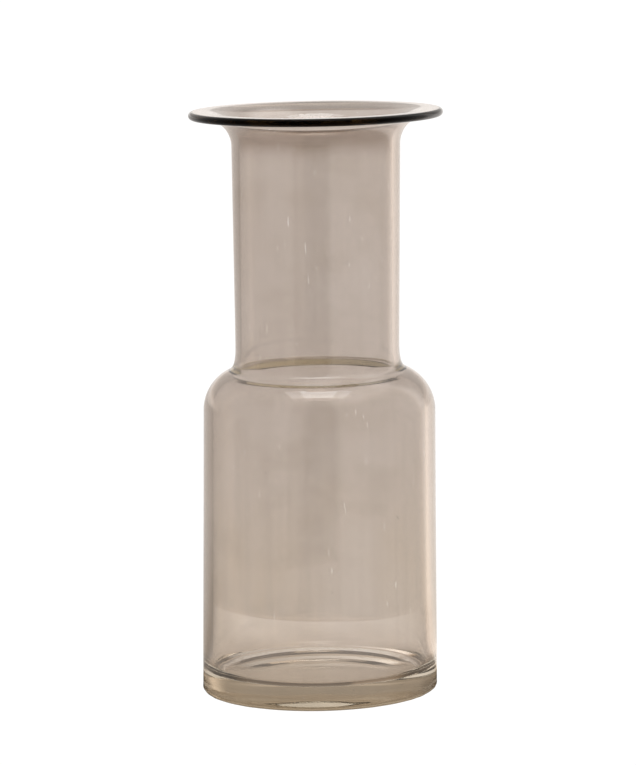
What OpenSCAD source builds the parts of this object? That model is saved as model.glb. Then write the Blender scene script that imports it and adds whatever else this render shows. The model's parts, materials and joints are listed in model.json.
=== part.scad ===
// Glass cylinder vase with a wide body, a straight neck and a flat flared lip.
// It is one piece of glass. Each module below is one zone of it, and the zones meet face to face.
// The origin is at the middle of the underside, and +Z runs up the vase's axis.

/* [Overall] */
// Height from the table to the top of the lip
vase_height = 302; // [280:2:400]
// Height of the glass edge where the shoulder meets the neck
crease_height = 168.5; // [150:0.5:175]

/* [Body] */
// Outer radius of the body at the bottom
body_foot_radius = 61; // [57:0.5:68]
// Outer radius of the body under the shoulder
body_top_radius = 60; // [56:0.5:61]
// Wall thickness just above the floor
body_foot_wall = 5; // [4:0.5:7]
// Wall thickness under the shoulder
body_top_wall = 4.8; // [4:0.2:5.6]
// Outer radius of the rounded shoulder
shoulder_radius = 23; // [20:0.5:25]

/* [Floor] */
// Thickness of the glass floor over its standing ring
floor_thickness = 11.5; // [9:0.5:15]
// Radius of the rounding where the floor turns up into the wall
floor_fillet = 5.5; // [4:0.5:8]
// Radius of the rounded outer edge that meets the table
heel_radius = 2.5; // [1:0.5:4]
// Rise of the hollow under the floor at its middle
punt_rise = 1.6; // [0.5:0.1:3]

/* [Neck] */
// Inner radius of the straight neck
bore_radius = 39.2; // [37:0.2:40]
// Outer radius of the neck where it is narrowest, above the crease
neck_foot_radius = 42.4; // [42:0.1:43]
// Outer radius of the neck under the lip
neck_top_radius = 43.4; // [42.5:0.1:44]
// Radius of the flare that runs down to the crease
flare_radius = 32; // [26:1:40]
// Angle through which that flare turns
flare_angle = 19; // [15:1:22]
// Radius of the rounding inside, where the neck opens into the body
throat_radius = 6; // [4:0.5:7]

/* [Lip] */
// Outer radius of the lip
lip_radius = 65.4; // [62:0.2:72]
// Thickness of the lip
lip_thickness = 4; // [3:0.5:5]
// Height of the bend between the neck and the lip
lip_bend = 18; // [14:0.5:20]

/* [Hidden] */

$fn = 128;
glass = [0.62, 0.54, 0.46, 0.75];
arc_steps = 10;

// Heights at which one zone ends and the next begins
wall_start = floor_thickness + floor_fillet;
shoulder_reach = crease_radius() - (body_top_radius - shoulder_radius);
shoulder_start = crease_height - sqrt(pow(shoulder_radius, 2) - pow(shoulder_reach, 2));
flare_end = crease_height + flare_radius * sin(flare_angle);
lip_start = vase_height - lip_bend;

// Inner radii
wall_foot_inner = body_foot_radius - body_foot_wall;
wall_top_inner = body_top_radius - body_top_wall;
floor_radius = wall_foot_inner - floor_fillet;

// Inside of the throat: the flare's arc, a rounding and the shoulder's arc, each running on from the last
flare_centre = [neck_foot_radius + flare_radius, flare_end];
flare_inner = flare_centre[0] - bore_radius;
shoulder_inner = wall_top_inner - shoulder_centre()[0];
throat_centre = meeting(
    flare_centre, flare_inner - throat_radius,
    shoulder_centre(), shoulder_inner + throat_radius
);
crease_turn = 180 + asin((flare_end - crease_height) / flare_inner);
flare_turn = 360 + turn_to(flare_centre, throat_centre);
shoulder_turn = turn_to(shoulder_centre(), throat_centre);

// Centre of the lip's bend, and the rounding of its rim
bend_centre = [bore_radius + lip_bend, lip_start];
rim_round = lip_thickness / 2;
rim_centre = lip_radius - rim_round;

// Outer radius of the crease, at the foot of the neck's flare
function crease_radius() = neck_foot_radius + flare_radius * (1 - cos(flare_angle));

// Centre of the shoulder's arcs, as [x, z]
function shoulder_centre() = [body_top_radius - shoulder_radius, shoulder_start];

// Angle of the line from point a to point b
function turn_to(a, b) = atan2(b[1] - a[1], b[0] - a[0]);

// Point at distance da from point a and db from point b, on the right going from a to b
function meeting(a, da, b, db) =
    let (gap = norm(b - a))
    let (way = (b - a) / gap)
    let (along = (da * da - db * db + gap * gap) / (2 * gap))
    a + along * way + sqrt(da * da - along * along) * [way[1], -way[0]];

// Points along an oval arc about a centre, from angle a to angle b. It leaves out the first if first is 1.
function oval_arc(centre, rx, rz, a, b, first = 0) =
    [for (i = [first:arc_steps])
        let (t = a + (b - a) * i / arc_steps)
        centre + [rx * cos(t), rz * sin(t)]];

// Points along a round arc, in the same way
function arc(centre, radius, a, b, first = 0) = oval_arc(centre, radius, radius, a, b, first);

// One zone of glass, turned from the outline of its wall
module zone(outline) {
    color(glass)
        rotate_extrude()
            polygon(outline);
}

// Thick floor inside the heel, hollowed a little underneath
module floor_disc() {
    zone([
        [0, punt_rise],
        [floor_radius * 0.5, punt_rise * 0.75],
        [floor_radius, 0],
        [floor_radius, floor_thickness],
        [0, floor_thickness]
    ]);
}

// Ring that the vase stands on, where the floor turns up into the wall
module heel_ring() {
    zone(concat(
        [[floor_radius, 0]],
        arc([body_foot_radius - heel_radius, heel_radius], heel_radius, -90, 0),
        [[body_foot_radius, wall_start]],
        arc([floor_radius, wall_start], floor_fillet, 0, -90)
    ));
}

// Straight wall of the body, a little thinner towards the top
module body_wall() {
    zone([
        [wall_foot_inner, wall_start],
        [body_foot_radius, wall_start],
        [body_top_radius, shoulder_start],
        [wall_top_inner, shoulder_start]
    ]);
}

// Rounded shoulder, from the wall up to the crease outside and to the throat inside
module shoulder() {
    zone(concat(
        arc(shoulder_centre(), shoulder_radius, 0, acos(shoulder_reach / shoulder_radius)),
        arc(flare_centre, flare_inner, crease_turn, flare_turn),
        arc(throat_centre, throat_radius, flare_turn, 180 + shoulder_turn, first = 1),
        arc(shoulder_centre(), shoulder_inner, shoulder_turn, 0, first = 1)
    ));
}

// Straight neck, flared at its foot
module neck() {
    zone(concat(
        arc(flare_centre, flare_radius, 180 + flare_angle, 180),
        [[neck_top_radius, lip_start], [bore_radius, lip_start]],
        arc(flare_centre, flare_inner, 180, crease_turn)
    ));
}

// Flat lip and the bend that joins it to the neck
module lip_flange() {
    zone(concat(
        oval_arc(bend_centre, bend_centre[0] - neck_top_radius, lip_bend - lip_thickness, 180, 90),
        [[rim_centre, vase_height - lip_thickness], [rim_centre, vase_height]],
        arc(bend_centre, lip_bend, 90, 180)
    ));
}

// Rounded outer edge of the lip
module rim_bead() {
    zone(arc([rim_centre, vase_height - rim_round], rim_round, -90, 90));
}

floor_disc();
heel_ring();
body_wall();
shoulder();
neck();
lip_flange();
rim_bead();
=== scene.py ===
"""Looks of the smoked glass vase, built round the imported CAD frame. All lengths are in metres."""

import json
import math

import bpy
from mathutils import Matrix, Vector, noise


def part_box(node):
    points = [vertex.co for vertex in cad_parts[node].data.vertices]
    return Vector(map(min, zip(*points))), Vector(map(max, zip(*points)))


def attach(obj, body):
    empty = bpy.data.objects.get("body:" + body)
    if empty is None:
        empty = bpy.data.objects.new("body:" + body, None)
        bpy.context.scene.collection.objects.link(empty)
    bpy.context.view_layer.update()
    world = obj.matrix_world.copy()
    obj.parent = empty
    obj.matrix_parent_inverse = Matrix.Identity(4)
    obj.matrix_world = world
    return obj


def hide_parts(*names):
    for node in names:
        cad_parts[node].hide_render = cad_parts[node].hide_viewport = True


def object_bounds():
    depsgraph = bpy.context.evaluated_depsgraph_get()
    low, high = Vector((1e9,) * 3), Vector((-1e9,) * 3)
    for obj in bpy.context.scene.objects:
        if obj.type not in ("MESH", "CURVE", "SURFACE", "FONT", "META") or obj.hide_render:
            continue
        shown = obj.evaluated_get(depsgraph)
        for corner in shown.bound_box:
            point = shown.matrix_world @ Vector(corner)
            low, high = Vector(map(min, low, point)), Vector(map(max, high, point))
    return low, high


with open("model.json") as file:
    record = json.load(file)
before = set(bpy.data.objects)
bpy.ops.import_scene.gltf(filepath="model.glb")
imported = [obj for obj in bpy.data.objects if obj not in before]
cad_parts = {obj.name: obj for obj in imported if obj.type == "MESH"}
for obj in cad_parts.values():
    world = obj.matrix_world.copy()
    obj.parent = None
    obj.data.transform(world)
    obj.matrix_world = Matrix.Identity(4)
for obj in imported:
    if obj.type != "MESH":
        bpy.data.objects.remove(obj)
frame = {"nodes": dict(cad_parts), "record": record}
cad_low, cad_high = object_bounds()

MM = 0.001

# ---------------------------------------------------------------- sizes read from the frame
VASE_HEIGHT = cad_high.z
FOOT_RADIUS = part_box("heel_ring")[1].x
FLOOR_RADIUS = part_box("floor_disc")[1].x
FLOOR_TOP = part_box("floor_disc")[1].z
WALL_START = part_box("heel_ring")[1].z
BODY_TOP_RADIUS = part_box("shoulder")[1].x
SHOULDER_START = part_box("shoulder")[0].z
CREASE_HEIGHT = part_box("neck")[0].z
CREASE_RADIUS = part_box("neck")[1].x
LIP_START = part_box("lip_flange")[0].z
RIM_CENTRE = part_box("lip_flange")[1].x
BORE = next(mount for mount in frame["record"]["mounts"] if mount["name"] == "neck_bore")
BORE_RADIUS = BORE["dims"]["r_mm"] * MM

# ---------------------------------------------------------------- sizes that a box doesn't give
HEEL_RADIUS = 2.5 * MM
PUNT_RISE = 1.6 * MM
WALL_FOOT_INNER = FOOT_RADIUS - 5.0 * MM
WALL_TOP_INNER = BODY_TOP_RADIUS - 4.8 * MM
SHOULDER_RADIUS = 23.0 * MM
NECK_FOOT_RADIUS = 42.4 * MM
NECK_TOP_RADIUS = 43.4 * MM
FLARE_RADIUS = 32.0 * MM
FLARE_ANGLE = 19.0
THROAT_RADIUS = 6.0 * MM
LIP_THICKNESS = 4.0 * MM
# How far the sharp crease is rounded off, along each of the two arcs that meet there
CREASE_ROUNDING = 3.2 * MM

FLARE_TOP = CREASE_HEIGHT + FLARE_RADIUS * math.sin(math.radians(FLARE_ANGLE))
FLOOR_FILLET = WALL_START - FLOOR_TOP
LIP_BEND = VASE_HEIGHT - LIP_START
LIP_UNDERSIDE = VASE_HEIGHT - LIP_THICKNESS

# ---------------------------------------------------------------- fineness of the mesh
# Points in a ring, and the longest step from ring to ring along a straight stretch
AROUND = 256
RING_STEP = 4.0 * MM
HEEL_RING_STEP = 2.0 * MM
# Gap between the end of an arc and the first or last point of the straight stretch beside it
PAST_ARC = 1.0 * MM
# Height of the first ring above the heel's arc
PAST_HEEL = HEEL_RADIUS * 1.3
# Steps in each arc of the outside
HEEL_STEPS = 8
SHOULDER_STEPS = 24
CREASE_STEPS = 8
FLARE_STEPS = 10
LIP_OUTER_STEPS = 12
RIM_STEPS = 16
# Steps in each arc of the inside
LIP_INNER_STEPS = 20
FLARE_INNER_STEPS = 12
THROAT_STEPS = 10
FILLET_STEPS = 12
# Rings and sides of a bubble
SEED_RINGS = 6
SEED_SIDES = 10

# ---------------------------------------------------------------- marks of hand work
# How far the vase leans along +X for each metre of height, and how much more its body does
LEAN = math.tan(math.radians(0.58))
BODY_LEAN = math.tan(math.radians(0.33))
# Faint ripples of the whole surface
WAVE_DEPTH = 0.03 * MM
WAVE_WIDTH = 24.0 * MM
WAVE_HEIGHT = 60.0 * MM
# Marks of chilled glass on the heel. They fall off upwards, and by the two powers inwards and to the front
# and back.
CHILL_DEPTH = 0.5 * MM
CHILL_WIDTH = 7.0 * MM
CHILL_TALL = 3.0 * MM
CHILL_HEIGHT = 4.0 * MM
CHILL_INWARD_POWER = 4
CHILL_ASIDE_POWER = 2
# Small bubbles in the glass: turn round the axis in degrees, and radius, height and size in millimetres
SEEDS = [
    (-62, 30, 6.2, 0.5), (-101, 41, 4.4, 0.6), (-38, 47, 7.8, 0.45), (74, 22, 5.6, 0.5),
    (131, 37, 7.4, 0.4), (-150, 49, 5.0, 0.55), (12, 52, 8.6, 0.4), (-84, 57.6, 61, 0.35),
    (-47, 57.4, 96, 0.3), (-118, 57.3, 122, 0.35), (-70, 41.2, 214, 0.25), (-128, 41.3, 251, 0.25),
    (41, 57.5, 83, 0.4),
]

# ---------------------------------------------------------------- glass
GLASS_IOR = 1.5
CLEAR = (1, 1, 1, 1)
# Colour of the film low down, high up and under the foot
TINT_LOW = (0.53, 0.435, 0.342, 1)
TINT_HIGH = (0.485, 0.405, 0.350, 1)
TINT_UNDER = (0.46, 0.37, 0.28, 1)
# Uneven places in the film: noise along each axis, its detail, the noise where one starts and where it is
# full, its colour, and how much of that colour it takes. They are blotches, clouds, streaks and scratches.
MARKS = [
    ((20, 20, 16), 3.0, 0.40, 0.66, (0.55, 0.475, 0.425, 1), 0.45),
    ((30, 30, 45), 3.0, 0.48, 0.72, (0.40, 0.325, 0.26, 1), 0.4),
    ((160, 160, 4), 1.0, 0.40, 0.75, (0.42, 0.345, 0.29, 1), 0.3),
    ((700, 700, 90), 1.0, 0.76, 0.80, CLEAR, 0.5),
]
# Height over which the colour under the foot ends, and the tint of reflections there
UNDER_FADE = 0.5 * MM
UNDER_SHINE = (0.15, 0.14, 0.12, 1)
# Painted shade on the rounded edge of the lip: it is coloured nearly black and its reflections are darkened
# with it, where the glass only looks dark because light reaches it after a long way through the glass. The
# radii where it starts and where it is full
RIM_PAINTED_SHADE = (0.003, 0.0012, 0.0004, 1)
RIM_SHADE_START = RIM_CENTRE - 0.5 * MM
RIM_SHADE_FULL = RIM_CENTRE + 0.3 * MM
# Film inside the lip: how much, the height where it starts, and the height over which it fades in
LIP_FILM = 0.8
LIP_FILM_START = LIP_START - 6.0 * MM
LIP_FILM_FADE = 10.0 * MM
# Film inside the heel: how much, the width over which it fades out inwards, and its height up the wall
HEEL_FILM = 0.7
HEEL_FILM_FADE = 6.0 * MM
HEEL_FILM_START = FLOOR_RADIUS - HEEL_FILM_FADE / 2
HEEL_FILM_HEIGHT = 18.0 * MM
# The glass itself, through its thickness
BODY_COLOR = (0.61, 0.57, 0.40, 1)
BODY_DENSITY = 6.0

# ---------------------------------------------------------------- studio
# Brightness of the world and the table where they are seen directly or through the glass. They are white.
DIRECT_GLOW = 1.05
# All the rest of the studio, apart from the softboxes, only shows in what the glass reflects.
# A turn is an angle round the vase in degrees, 0 on the camera's side, and positive to its right.
# A rise is the sine of the angle above the horizon.
WARM = (1.0, 0.955, 0.915, 1)
# Brightness of the panels round the vase, as (turn, brightness)
PANELS = [
    (-180, 0.9), (-160, 0.75), (-138, 0.7), (-128, 0.55), (-90, 0.55), (-87, 0.36), (-32, 0.36),
    (-31, 0.0), (13, 0.0), (22, 0.9), (116, 1.0), (122, 1.65), (136, 1.65), (146, 1.15), (180, 0.95),
]
# More than the greatest brightness in any list of stops
MOST_GLOW = 2.0
# The backdrop behind the vase: the turn where it starts, its foot and its top as rises, and their blur
BACKDROP_TURN = 132
BACKDROP_TURN_BLUR = 8
BACKDROP_GLOW = 0.7
BACKDROP_FOOT = 0.12
BACKDROP_FOOT_BLUR = 0.02
BACKDROP_FOOT_GLOW = 1.05
BACKDROP_TOP = 0.48
BACKDROP_TOP_BLUR = 0.05
ABOVE_BACKDROP_GLOW = 0.6
# The ceiling, by rise, and its brighter right side, by how far the direction points to the right
CEILING_START = 0.6
CEILING_FULL = 0.85
CEILING_GLOW = 0.6
CEILING_RIGHT_START = 0.05
CEILING_RIGHT_FULL = 0.3
CEILING_RIGHT_GLOW = 1.9
# Two softboxes, one over the other, sized and placed in parts of their height above the crease
SOFTBOX_HEIGHT = 1.7
SOFTBOX_LENGTH = 0.44
SOFTBOX_AHEAD = 0.27
SOFTBOX_WIDTH = 0.42
SOFTBOX_GLOW = 2.5
WIDE_SOFTBOX_WIDTH = 0.80
WIDE_SOFTBOX_GLOW = 2.0
WIDE_SOFTBOX_GAP = 0.01
# The bright round pool of light painted on the table, which ends behind the vase at a turn
LIGHT_POOL_RADIUS = 0.2992
LIGHT_POOL_CENTRE = (-0.029, -0.019, 0)
LIGHT_POOL_EDGE_BLUR = 0.0005
LIGHT_POOL_TURN = 118
LIGHT_POOL_TURN_BLUR = 6
# The painted pool of light starts this far from the vase's axis
LIGHT_POOL_INNER_START = 0.075
LIGHT_POOL_INNER_FULL = 0.085
# It is brightest along its border, and dims from one turn on and in light that glances along the glass
LIGHT_POOL_BORDER_START = LIGHT_POOL_RADIUS - 0.11
LIGHT_POOL_BORDER_FULL = LIGHT_POOL_RADIUS - 0.06
LIGHT_POOL_GLOW = 2.7
LIGHT_POOL_NEAR_GLOW = 1.7
LIGHT_POOL_ASIDE_TURN = 45
LIGHT_POOL_ASIDE_GLOW = 1.0
LIGHT_POOL_STRAIGHT = 0.5
LIGHT_POOL_GLANCING = 0.1
LIGHT_POOL_GLANCING_GLOW = 0.85
# It doesn't show in light that has passed through this many surfaces or more
LIGHT_POOL_SURFACES = 3
# Least brightness of the table near the vase
NEAR_RADIUS = 0.5
NEAR_BLUR = 0.02
NEAR_GLOW = 0.5
# Shade of the table by distance from the vase's axis: on the camera's side, at both sides and behind
FRONT_SHADE = [(0.0, 0.75), (0.048, 0.75), (0.053, 0.45), (0.064, 0.45), (0.075, 0.5), (0.14, 1.0)]
SIDE_SHADE = [(0.0, 0.3), (0.030, 0.25), (0.042, 0.10), (0.070, 0.12), (0.085, 0.5), (0.14, 0.9)]
REAR_SHADE = [
    (0.0, 0.9), (0.035, 1.1), (0.062, 1.1), (0.075, 0.8), (0.14, 0.78), (0.3, 0.9), (0.6, 1.0),
]
SIDE_TURNS = (45, 65)
REAR_TURNS = (118, 130)
# Light in that shade has come through the glass, and is as brown as this in the deepest shade
BROWN = (1.0, 0.74, 0.48, 1)
NO_SHADE = 1.0
DEEP_SHADE = 0.2
# Half the length of the table's side
TABLE_REACH = 40.0

# ---------------------------------------------------------------- camera
# Angles are in degrees, and the lens and the sensor in millimetres
CAMERA_DISTANCE = 2.154
CAMERA_HEIGHT = 0.4617
CAMERA_PITCH = 7.957
CAMERA_PAN = -0.048
CAMERA_ROLL = -1.05
CAMERA_LENS = 197.8
CAMERA_SENSOR = 36.0
CAMERA_REACH = 100.0
# How often light may be reflected, and pass into or out of glass, before it is given up
GLOSSY_BOUNCES = 24
GLASS_BOUNCES = 32


# ---------------------------------------------------------------- outline of the glass
def arc(x, z, rx, rz, start, end, steps):
    """Points along an oval arc about (x, z), from the angle start to the angle end, in degrees."""
    turns = [math.radians(start + (end - start) * i / steps) for i in range(steps + 1)]
    return [(x + rx * math.cos(t), z + rz * math.sin(t)) for t in turns]


def line(start, end, step=RING_STEP):
    """Points from start up to, but without, end, no more than a step apart."""
    count = max(1, math.ceil(math.dist(start, end) / step))
    return [
        tuple(a + (b - a) * i / count for a, b in zip(start, end))
        for i in range(count)
    ]


def bend(start, corner, end, steps):
    """Points between start and end, without them, along the curve that rounds off the corner."""
    parts = [i / steps for i in range(1, steps)]
    return [
        tuple(a * (1 - t) ** 2 + b * 2 * t * (1 - t) + c * t**2 for a, b, c in zip(start, corner, end))
        for t in parts
    ]


def turn_to(start, end):
    """Angle of the line from one point to another, in degrees."""
    return math.degrees(math.atan2(end.y - start.y, end.x - start.x))


def meeting(a, from_a, b, from_b):
    """The point at two given distances from points a and b, on the right going from a to b."""
    gap = (b - a).length
    way = (b - a) / gap
    along = (from_a**2 - from_b**2 + gap**2) / (2 * gap)
    return a + along * way + math.sqrt(from_a**2 - along**2) * Vector((way.y, -way.x))


def outer_outline():
    """Outside of the glass, from the middle of the underside up to the top of the rim."""
    punt_middle = (FLOOR_RADIUS / 2, PUNT_RISE * 3 / 4)
    shoulder_x = BODY_TOP_RADIUS - SHOULDER_RADIUS
    shoulder_turn = math.degrees(math.acos((CREASE_RADIUS - shoulder_x) / SHOULDER_RADIUS))
    shoulder_arc = arc(
        shoulder_x, SHOULDER_START, SHOULDER_RADIUS, SHOULDER_RADIUS,
        0, shoulder_turn - math.degrees(CREASE_ROUNDING / SHOULDER_RADIUS), SHOULDER_STEPS,
    )
    flare_arc = arc(
        NECK_FOOT_RADIUS + FLARE_RADIUS, FLARE_TOP, FLARE_RADIUS, FLARE_RADIUS,
        180 + FLARE_ANGLE - math.degrees(CREASE_ROUNDING / FLARE_RADIUS), 180, FLARE_STEPS,
    )
    bend_x = BORE_RADIUS + LIP_BEND
    bend_arc = arc(
        bend_x, LIP_START, bend_x - NECK_TOP_RADIUS, LIP_UNDERSIDE - LIP_START, 180, 90, LIP_OUTER_STEPS
    )
    rim = LIP_THICKNESS / 2
    return [
        *line((0, PUNT_RISE), punt_middle),
        *line(punt_middle, (FLOOR_RADIUS, 0)),
        *line((FLOOR_RADIUS, 0), (FOOT_RADIUS - HEEL_RADIUS, 0), HEEL_RING_STEP),
        *arc(FOOT_RADIUS - HEEL_RADIUS, HEEL_RADIUS, HEEL_RADIUS, HEEL_RADIUS, -90, 0, HEEL_STEPS),
        *line((FOOT_RADIUS, PAST_HEEL), (FOOT_RADIUS, WALL_START)),
        *line((FOOT_RADIUS, WALL_START), (BODY_TOP_RADIUS, SHOULDER_START)),
        *shoulder_arc,
        *bend(shoulder_arc[-1], (CREASE_RADIUS, CREASE_HEIGHT), flare_arc[0], CREASE_STEPS),
        *flare_arc,
        *line((NECK_FOOT_RADIUS, FLARE_TOP + RING_STEP), (NECK_TOP_RADIUS, LIP_START)),
        *bend_arc,
        *line((bend_x + PAST_ARC, LIP_UNDERSIDE), (RIM_CENTRE, LIP_UNDERSIDE)),
        *arc(RIM_CENTRE, VASE_HEIGHT - rim, rim, rim, -90, 90, RIM_STEPS),
    ]


def inner_outline():
    """Inside of the glass, from the top of the lip down to the middle of the floor."""
    shoulder = Vector((BODY_TOP_RADIUS - SHOULDER_RADIUS, SHOULDER_START))
    shoulder_inner = WALL_TOP_INNER - shoulder.x
    flare = Vector((NECK_FOOT_RADIUS + FLARE_RADIUS, FLARE_TOP))
    flare_inner = flare.x - BORE_RADIUS
    throat = meeting(flare, flare_inner - THROAT_RADIUS, shoulder, shoulder_inner + THROAT_RADIUS)
    flare_turn = 360 + turn_to(flare, throat)
    throat_turn = turn_to(shoulder, throat)
    fillet_x = WALL_FOOT_INNER - FLOOR_FILLET
    return [
        *line((RIM_CENTRE - PAST_ARC, VASE_HEIGHT), (BORE_RADIUS + LIP_BEND, VASE_HEIGHT)),
        *arc(BORE_RADIUS + LIP_BEND, LIP_START, LIP_BEND, LIP_BEND, 90, 180, LIP_INNER_STEPS),
        *line((BORE_RADIUS, LIP_START - RING_STEP), (BORE_RADIUS, FLARE_TOP)),
        *arc(*flare, flare_inner, flare_inner, 180, flare_turn, FLARE_INNER_STEPS),
        *arc(*throat, THROAT_RADIUS, THROAT_RADIUS, flare_turn, 180 + throat_turn, THROAT_STEPS)[1:],
        *arc(*shoulder, shoulder_inner, shoulder_inner, throat_turn, 0, SHOULDER_STEPS)[1:],
        *line((WALL_TOP_INNER, SHOULDER_START - RING_STEP), (WALL_FOOT_INNER, WALL_START)),
        *arc(fillet_x, WALL_START, FLOOR_FILLET, FLOOR_FILLET, 0, -90, FILLET_STEPS),
        *line((fillet_x - PAST_ARC, FLOOR_TOP), (0, FLOOR_TOP)),
        (0, FLOOR_TOP),
    ]


# ---------------------------------------------------------------- mesh of the glass
def lean(z):
    """How far the vase's axis leans along +X at a height, as hand-made glass does."""
    neck_lean = LEAN * z
    body_lean = BODY_LEAN * min(z, SHOULDER_START)
    fade = min(1.0, max(0.0, (CREASE_HEIGHT - z) / (CREASE_HEIGHT - SHOULDER_START)))
    return neck_lean + body_lean * fade


def ripple(radius, z, turn):
    """How far hand blowing and the chilled heel push the glass out or in at a place on its surface."""
    place = Vector((radius * math.cos(turn), radius * math.sin(turn), z))
    swell = noise.noise(Vector((place.x / WAVE_WIDTH, place.y / WAVE_WIDTH, place.z / WAVE_HEIGHT)))
    chill = noise.noise(Vector((place.x / CHILL_WIDTH, place.y / CHILL_WIDTH, place.z / CHILL_TALL)))
    near_table = max(0.0, 1 - z / CHILL_HEIGHT) * min(1.0, radius / FLOOR_RADIUS) ** CHILL_INWARD_POWER
    aside = min(1.0, abs(place.x) / FLOOR_RADIUS) ** CHILL_ASIDE_POWER
    return WAVE_DEPTH * swell + CHILL_DEPTH * near_table * aside * chill


def closed_faces(first, rings, sides):
    """Faces over rings of points between two end points, all numbered from first. They face outwards."""
    last = first + 1 + rings * sides
    top = last - sides
    faces = []
    for side in range(sides):
        beside = (side + 1) % sides
        faces.append((first, first + 1 + beside, first + 1 + side))
        for ring in range(rings - 1):
            here = first + 1 + ring * sides
            above = here + sides
            faces.append((here + side, here + beside, above + beside, above + side))
        faces.append((top + side, top + beside, last))
    return faces


def revolve(outline):
    """Points and faces of a closed surface, turned from an outline whose two ends lie on the axis."""
    low, *rings, high = outline
    points = [(0, 0, low[1])]
    for radius, z in rings:
        for step in range(AROUND):
            turn = 2 * math.pi * step / AROUND
            out = radius + ripple(radius, z, turn)
            points.append((out * math.cos(turn) + lean(z), out * math.sin(turn), z))
    points.append((lean(high[1]), 0, high[1]))
    return points, closed_faces(0, len(rings), AROUND)


def add_seed(points, faces, centre, size):
    """Adds a small closed bubble of air to a mesh's points and faces. Its normals point into the bubble."""
    first = len(points)
    points.append(tuple(centre - Vector((0, 0, size))))
    for ring in range(1, SEED_RINGS):
        up = math.pi * ring / SEED_RINGS
        for side in range(SEED_SIDES):
            turn = 2 * math.pi * side / SEED_SIDES
            out = Vector((math.sin(up) * math.cos(turn), math.sin(up) * math.sin(turn), -math.cos(up)))
            points.append(tuple(centre + out * size))
    points.append(tuple(centre + Vector((0, 0, size))))
    for face in closed_faces(first, SEED_RINGS - 1, SEED_SIDES):
        faces.append((face[0], *reversed(face[1:])))


def inner_film(radius, z):
    """How much film the inside has: some where it turns at the lip and at the heel, and none between."""
    lip = LIP_FILM * min(1.0, max(0.0, (z - LIP_FILM_START) / LIP_FILM_FADE))
    inward = min(1.0, max(0.0, (radius - HEEL_FILM_START) / HEEL_FILM_FADE))
    heel = HEEL_FILM * inward * max(0.0, 1 - (z - FLOOR_TOP) / HEEL_FILM_HEIGHT)
    return max(lip, heel)


def glass_mesh():
    """The whole surface of the glass and of its bubbles, marked with how much film it has."""
    outer = outer_outline()
    outside = 1 + AROUND * (len(outer) - 1)
    points, faces = revolve(outer + inner_outline())
    surface = len(points)
    for turn, radius, height, size in SEEDS:
        side = math.radians(turn)
        centre = Vector((radius * math.cos(side), radius * math.sin(side), height)) * MM
        add_seed(points, faces, centre + Vector((lean(centre.z), 0, 0)), size * MM)
    mesh = bpy.data.meshes.new("vase_glass")
    mesh.from_pydata(points, [], faces)
    mesh.shade_smooth()
    film = mesh.attributes.new("film", "FLOAT", "POINT")
    for index, (x, y, z) in enumerate(points[:surface]):
        film.data[index].value = 1.0 if index < outside else inner_film(math.hypot(x, y), z)
    return mesh


# ---------------------------------------------------------------- shader nodes
def feed(tree, slot, value):
    """Sets an input to a number or a colour, or links it to a socket."""
    if isinstance(value, (int, float, tuple)):
        slot.default_value = value
    else:
        tree.links.new(value, slot)


def math_node(tree, operation, *values):
    """A math node on sockets or numbers. Gives its output socket."""
    node = tree.nodes.new("ShaderNodeMath")
    node.operation = operation
    for slot, value in zip(node.inputs, values):
        feed(tree, slot, value)
    return node.outputs[0]


def vector_measure(tree, operation, *values):
    """A vector math node that gives one number, such as a length. Gives its output socket."""
    node = tree.nodes.new("ShaderNodeVectorMath")
    node.operation = operation
    for slot, value in zip(node.inputs, values):
        feed(tree, slot, value)
    return node.outputs["Value"]


def split_xyz(tree, vector):
    """The X, Y and Z of a vector, as the outputs of one node."""
    node = tree.nodes.new("ShaderNodeSeparateXYZ")
    tree.links.new(vector, node.inputs[0])
    return node.outputs


def light_path(tree, name):
    """An output of a light path node, by name."""
    return tree.nodes.new("ShaderNodeLightPath").outputs[name]


def reflected(tree):
    """1 where the light has been reflected by the glass on its way, else 0."""
    return math_node(tree, "GREATER_THAN", light_path(tree, "Glossy Depth"), 0.5)


def smooth_step(tree, value, low, high):
    """0 at low, 1 at high, and smooth between them. Low may be the greater."""
    node = tree.nodes.new("ShaderNodeMapRange")
    node.interpolation_type = "SMOOTHSTEP"
    tree.links.new(value, node.inputs["Value"])
    flip = high < low
    node.inputs["From Min"].default_value = min(low, high)
    node.inputs["From Max"].default_value = max(low, high)
    node.inputs["To Min"].default_value = 1.0 if flip else 0.0
    node.inputs["To Max"].default_value = 0.0 if flip else 1.0
    return node.outputs["Result"]


def mix_value(tree, factor, low, high):
    """low where factor is 0 and high where it is 1."""
    node = tree.nodes.new("ShaderNodeMix")
    for name, value in (("Factor", factor), ("A", low), ("B", high)):
        feed(tree, node.inputs[name], value)
    return node.outputs["Result"]


def mix_color(tree, factor, low, high, most=1.0):
    """low where factor is 0, and most of the way to high where it is 1."""
    node = tree.nodes.new("ShaderNodeMix")
    node.data_type = "RGBA"
    tree.links.new(math_node(tree, "MULTIPLY", factor, most), node.inputs["Factor"])
    color_a, color_b = node.inputs[6:8]
    feed(tree, color_a, low)
    feed(tree, color_b, high)
    return node.outputs[2]


def noise_value(tree, place, scale, detail):
    """Soft noise from 0 to 1, with its own scale along each axis."""
    stretch = tree.nodes.new("ShaderNodeMapping")
    stretch.inputs["Scale"].default_value = scale
    tree.links.new(place, stretch.inputs["Vector"])
    node = tree.nodes.new("ShaderNodeTexNoise")
    node.inputs["Scale"].default_value = 1.0
    node.inputs["Detail"].default_value = detail
    tree.links.new(stretch.outputs[0], node.inputs["Vector"])
    return node.outputs["Fac"]


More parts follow.
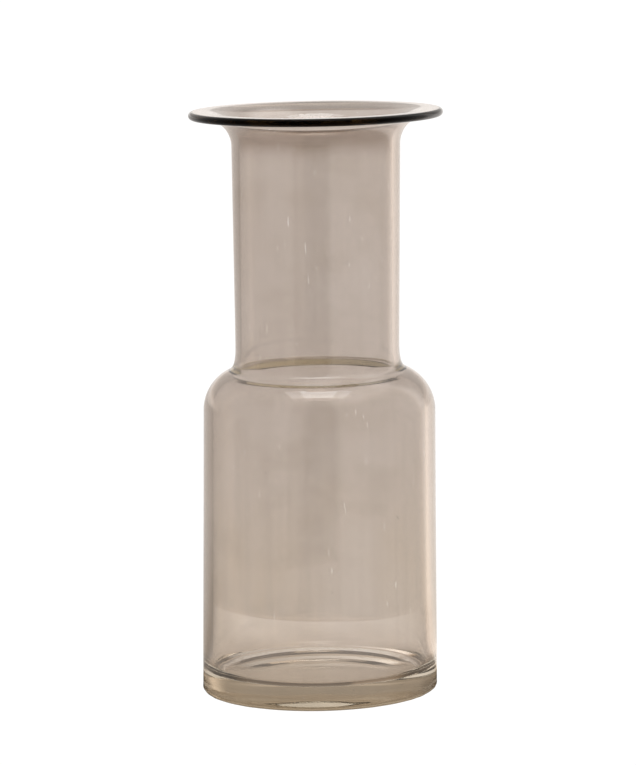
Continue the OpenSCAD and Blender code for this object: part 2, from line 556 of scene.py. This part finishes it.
def follow_stops(tree, value, stops):
    """Brightness that follows a value through stops, each given as (value, brightness)."""
    low, high = stops[0][0], stops[-1][0]
    ramp = tree.nodes.new("ShaderNodeValToRGB")
    places = ramp.color_ramp.elements
    while len(places) < len(stops):
        places.new(1.0)
    for place, (at, glow) in zip(places, stops):
        place.position = (at - low) / (high - low)
        place.color = (glow / MOST_GLOW,) * 3 + (1,)
    part = math_node(tree, "DIVIDE", math_node(tree, "SUBTRACT", value, low), high - low)
    tree.links.new(part, ramp.inputs["Fac"])
    return math_node(tree, "MULTIPLY", ramp.outputs["Color"], MOST_GLOW)


# ---------------------------------------------------------------- the vase
def film_tint(tree, place, height):
    """Colour of the film everywhere but under the foot: a slow change with height, and uneven places."""
    tint = mix_color(tree, smooth_step(tree, height, 0.0, CREASE_HEIGHT), TINT_LOW, TINT_HIGH)
    for scale, detail, start, full, color, most in MARKS:
        mark = smooth_step(tree, noise_value(tree, place, scale, detail), start, full)
        tint = mix_color(tree, mark, tint, color, most)
    return tint


def painted_rim_shade(tree, place):
    """1 on the rounded edge of the lip, where shade is painted: light reaches it only after a long way
    through the glass, so its colour is made dark.
    """
    flat = tree.nodes.new("ShaderNodeCombineXYZ")
    leaned = math_node(tree, "MULTIPLY", place["Z"], -LEAN)
    tree.links.new(math_node(tree, "ADD", place["X"], leaned), flat.inputs["X"])
    tree.links.new(place["Y"], flat.inputs["Y"])
    return smooth_step(tree, vector_measure(tree, "LENGTH", flat.outputs[0]), RIM_SHADE_START, RIM_SHADE_FULL)


def glass_material():
    """Smoked glass: a brown film on its outside, over glass that is nearly clear through its thickness, and
    painted shade on the edge of the lip.
    """
    material = bpy.data.materials.new("smoked_glass")
    material.use_nodes = True
    tree = material.node_tree
    shader = tree.nodes["Principled BSDF"]
    where = tree.nodes.new("ShaderNodeTexCoord").outputs["Object"]
    place = split_xyz(tree, where)
    under = smooth_step(tree, place["Z"], HEEL_RADIUS + UNDER_FADE, HEEL_RADIUS)
    tint = mix_color(tree, under, film_tint(tree, where, place["Z"]), TINT_UNDER)
    film = tree.nodes.new("ShaderNodeAttribute")
    film.attribute_name = "film"
    tint = mix_color(tree, film.outputs["Fac"], CLEAR, tint)
    leaving = tree.nodes.new("ShaderNodeNewGeometry").outputs["Backfacing"]
    entering = math_node(tree, "SUBTRACT", 1.0, leaving)
    # Painted shade: where light enters the lip's edge it is coloured nearly black, and its reflections are
    # darkened too.
    rim_shade = math_node(tree, "MULTIPLY", painted_rim_shade(tree, place), entering)
    tree.links.new(mix_color(tree, rim_shade, tint, RIM_PAINTED_SHADE), shader.inputs["Base Color"])
    shine = mix_color(tree, under, CLEAR, UNDER_SHINE)
    tree.links.new(mix_color(tree, rim_shade, shine, RIM_PAINTED_SHADE), shader.inputs["Specular Tint"])
    shader.inputs["Roughness"].default_value = 0.0
    shader.inputs["IOR"].default_value = GLASS_IOR
    shader.inputs["Transmission Weight"].default_value = 1.0
    body = tree.nodes.new("ShaderNodeVolumeAbsorption")
    body.inputs["Color"].default_value = BODY_COLOR
    body.inputs["Density"].default_value = BODY_DENSITY
    tree.links.new(body.outputs["Volume"], tree.nodes["Material Output"].inputs["Volume"])
    return material


def make_vase():
    """The vase's glass as one piece, in place of every zone of the frame."""
    vase = bpy.data.objects.new("vase_glass", glass_mesh())
    bpy.context.scene.collection.objects.link(vase)
    vase.data.materials.append(glass_material())
    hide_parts(*sorted(frame["nodes"]))
    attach(vase, "root")


# ---------------------------------------------------------------- the studio
def panel_group():
    """Node group that gives the brightness of the panels in a direction from the vase, and its turn."""
    group = bpy.data.node_groups.new("light_panels", "ShaderNodeTree")
    group.interface.new_socket("Direction", in_out="INPUT", socket_type="NodeSocketVector")
    group.interface.new_socket("Glow", in_out="OUTPUT", socket_type="NodeSocketFloat")
    group.interface.new_socket("Turn", in_out="OUTPUT", socket_type="NodeSocketFloat")
    direction = split_xyz(group, group.nodes.new("NodeGroupInput").outputs["Direction"])
    ahead = math_node(group, "MULTIPLY", direction["Y"], -1.0)
    turn = math_node(group, "DEGREES", math_node(group, "ARCTAN2", direction["X"], ahead))
    sink = group.nodes.new("NodeGroupOutput")
    group.links.new(follow_stops(group, turn, PANELS), sink.inputs["Glow"])
    group.links.new(math_node(group, "ABSOLUTE", turn), sink.inputs["Turn"])
    return group


def panel_light(tree, group, direction):
    """Brightness of the panels in a direction from the vase, and that direction's turn to either side."""
    node = tree.nodes.new("ShaderNodeGroup")
    node.node_tree = group
    tree.links.new(direction, node.inputs["Direction"])
    return node.outputs["Glow"], node.outputs["Turn"]


def backdrop_glow(tree, rise):
    """Brightness behind the vase: a bright foot, the backdrop and what is above it."""
    above = smooth_step(tree, rise, BACKDROP_TOP - BACKDROP_TOP_BLUR, BACKDROP_TOP + BACKDROP_TOP_BLUR)
    foot = smooth_step(tree, rise, BACKDROP_FOOT + BACKDROP_FOOT_BLUR, BACKDROP_FOOT - BACKDROP_FOOT_BLUR)
    upper = mix_value(tree, above, BACKDROP_GLOW, ABOVE_BACKDROP_GLOW)
    return mix_value(tree, foot, upper, BACKDROP_FOOT_GLOW)


def make_world(group):
    """Even white all round, and panels, a backdrop and a ceiling in what the glass reflects."""
    world = bpy.data.worlds.new("studio")
    bpy.context.scene.world = world
    world.use_nodes = True
    tree = world.node_tree
    background = tree.nodes["Background"]
    where = tree.nodes.new("ShaderNodeTexCoord").outputs["Generated"]
    direction = split_xyz(tree, where)
    glow, turn = panel_light(tree, group, where)
    behind = smooth_step(tree, turn, BACKDROP_TURN - BACKDROP_TURN_BLUR, BACKDROP_TURN + BACKDROP_TURN_BLUR)
    glow = mix_value(tree, behind, glow, backdrop_glow(tree, direction["Z"]))
    to_right = smooth_step(tree, direction["X"], CEILING_RIGHT_START, CEILING_RIGHT_FULL)
    ceiling = mix_value(tree, to_right, CEILING_GLOW, CEILING_RIGHT_GLOW)
    high_up = smooth_step(tree, direction["Z"], CEILING_START, CEILING_FULL)
    glow = mix_value(tree, high_up, glow, ceiling)
    tree.links.new(mix_value(tree, reflected(tree), DIRECT_GLOW, glow), background.inputs["Strength"])
    tree.links.new(mix_color(tree, reflected(tree), CLEAR, WARM), background.inputs["Color"])


def make_softbox(name, width, glow, height):
    """A softbox over the vase, a little towards the camera."""
    above_crease = SOFTBOX_HEIGHT - CREASE_HEIGHT
    data = bpy.data.lights.new(name, "AREA")
    data.shape = "RECTANGLE"
    data.size = width * above_crease
    data.size_y = SOFTBOX_LENGTH * above_crease
    data.energy = glow * math.pi * data.size * data.size_y
    softbox = bpy.data.objects.new(name, data)
    softbox.location = (0, -SOFTBOX_AHEAD * above_crease, height)
    bpy.context.scene.collection.objects.link(softbox)


def straightness(tree, from_axis):
    """How straight out from the glass light comes to the table: 1 square to the wall, 0 along it."""
    length = light_path(tree, "Ray Length")
    gone = math_node(tree, "MULTIPLY", length, length)
    reach = math_node(tree, "MULTIPLY", from_axis, from_axis)
    past = math_node(tree, "SUBTRACT", math_node(tree, "SUBTRACT", reach, FOOT_RADIUS**2), gone)
    return math_node(tree, "DIVIDE", past, math_node(tree, "MULTIPLY", length, 2 * FOOT_RADIUS))


def light_pool_cover(tree, turn, from_axis, from_light_pool):
    """1 on the painted pool of light on the table, in light that has passed through few surfaces, else 0.
    """
    inside = smooth_step(tree, from_light_pool, LIGHT_POOL_RADIUS + LIGHT_POOL_EDGE_BLUR, LIGHT_POOL_RADIUS - LIGHT_POOL_EDGE_BLUR)
    ahead = smooth_step(tree, turn, LIGHT_POOL_TURN + LIGHT_POOL_TURN_BLUR, LIGHT_POOL_TURN - LIGHT_POOL_TURN_BLUR)
    outside = smooth_step(tree, from_axis, LIGHT_POOL_INNER_START, LIGHT_POOL_INNER_FULL)
    direct = math_node(tree, "LESS_THAN", light_path(tree, "Transmission Depth"), LIGHT_POOL_SURFACES)
    cover = math_node(tree, "MULTIPLY", math_node(tree, "MULTIPLY", inside, ahead), direct)
    return math_node(tree, "MULTIPLY", cover, outside)


def light_pool_glow(tree, turn, from_axis, from_light_pool):
    """Brightness of the painted pool of light on the table."""
    border = smooth_step(tree, from_light_pool, LIGHT_POOL_BORDER_START, LIGHT_POOL_BORDER_FULL)
    aside = smooth_step(tree, turn, LIGHT_POOL_ASIDE_TURN, LIGHT_POOL_TURN)
    straight = smooth_step(tree, straightness(tree, from_axis), LIGHT_POOL_GLANCING, LIGHT_POOL_STRAIGHT)
    glow = mix_value(tree, border, LIGHT_POOL_NEAR_GLOW, LIGHT_POOL_GLOW)
    glow = mix_value(tree, aside, glow, LIGHT_POOL_ASIDE_GLOW)
    return mix_value(tree, straight, LIGHT_POOL_GLANCING_GLOW, glow)


def table_shade(tree, turn, from_axis):
    """How much of its light the table keeps under and near the vase."""
    front = follow_stops(tree, from_axis, FRONT_SHADE)
    side = follow_stops(tree, from_axis, SIDE_SHADE)
    rear = follow_stops(tree, from_axis, REAR_SHADE)
    shade = mix_value(tree, smooth_step(tree, turn, *SIDE_TURNS), front, side)
    return mix_value(tree, smooth_step(tree, turn, *REAR_TURNS), shade, rear)


def table_material(group):
    """Plain white, and in what the glass reflects the panels' light, a painted pool of light and the shade.
    """
    material = bpy.data.materials.new("table_white")
    material.use_nodes = True
    tree = material.node_tree
    tree.nodes.remove(tree.nodes["Principled BSDF"])
    where = tree.nodes.new("ShaderNodeNewGeometry").outputs["Position"]
    glow, turn = panel_light(tree, group, where)
    from_axis = vector_measure(tree, "DISTANCE", where, (0, 0, 0))
    from_light_pool = vector_measure(tree, "DISTANCE", where, LIGHT_POOL_CENTRE)
    near = smooth_step(tree, from_axis, NEAR_RADIUS + NEAR_BLUR, NEAR_RADIUS)
    glow = math_node(tree, "MAXIMUM", glow, math_node(tree, "MULTIPLY", near, NEAR_GLOW))
    # Painted light: in reflections a bright round pool of light is painted on the table in front of the
    # vase.
    cover = light_pool_cover(tree, turn, from_axis, from_light_pool)
    glow = mix_value(tree, cover, glow, light_pool_glow(tree, turn, from_axis, from_light_pool))
    shade = table_shade(tree, turn, from_axis)
    glow = math_node(tree, "MULTIPLY", glow, shade)
    color = mix_color(tree, smooth_step(tree, shade, NO_SHADE, DEEP_SHADE), WARM, BROWN)
    light = tree.nodes.new("ShaderNodeEmission")
    tree.links.new(mix_color(tree, reflected(tree), CLEAR, color), light.inputs["Color"])
    tree.links.new(mix_value(tree, reflected(tree), DIRECT_GLOW, glow), light.inputs["Strength"])
    tree.links.new(light.outputs[0], tree.nodes["Material Output"].inputs["Surface"])
    return material


def make_table(group):
    """A pale table that fades into the background."""
    mesh = bpy.data.meshes.new("table")
    corners = [(x * TABLE_REACH, y * TABLE_REACH, 0) for x, y in ((-1, -1), (1, -1), (1, 1), (-1, 1))]
    mesh.from_pydata(corners, [], [(0, 1, 2, 3)])
    mesh.materials.append(table_material(group))
    table = bpy.data.objects.new("table", mesh)
    bpy.context.scene.collection.objects.link(table)


def make_camera():
    """The camera, looking along +Y and a little down."""
    data = bpy.data.cameras.new("camera")
    data.lens = CAMERA_LENS
    data.sensor_width = CAMERA_SENSOR
    data.clip_end = CAMERA_REACH
    camera = bpy.data.objects.new("camera", data)
    bpy.context.scene.collection.objects.link(camera)
    aim = (
        Matrix.Rotation(math.radians(CAMERA_PAN), 4, "Z")
        @ Matrix.Rotation(math.radians(90 - CAMERA_PITCH), 4, "X")
        @ Matrix.Rotation(math.radians(CAMERA_ROLL), 4, "Z")
    )
    camera.matrix_world = Matrix.Translation((0, -CAMERA_DISTANCE, CAMERA_HEIGHT)) @ aim
    bpy.context.scene.camera = camera


make_camera()
make_vase()
panels = panel_group()
make_world(panels)
make_table(panels)
make_softbox("softbox", SOFTBOX_WIDTH, SOFTBOX_GLOW, SOFTBOX_HEIGHT)
make_softbox("softbox_wide", WIDE_SOFTBOX_WIDTH, WIDE_SOFTBOX_GLOW, SOFTBOX_HEIGHT + WIDE_SOFTBOX_GAP)
scene = bpy.context.scene
scene.view_settings.view_transform = "Standard"
scene.cycles.max_bounces = GLASS_BOUNCES
scene.cycles.transmission_bounces = GLASS_BOUNCES
scene.cycles.glossy_bounces = GLOSSY_BOUNCES
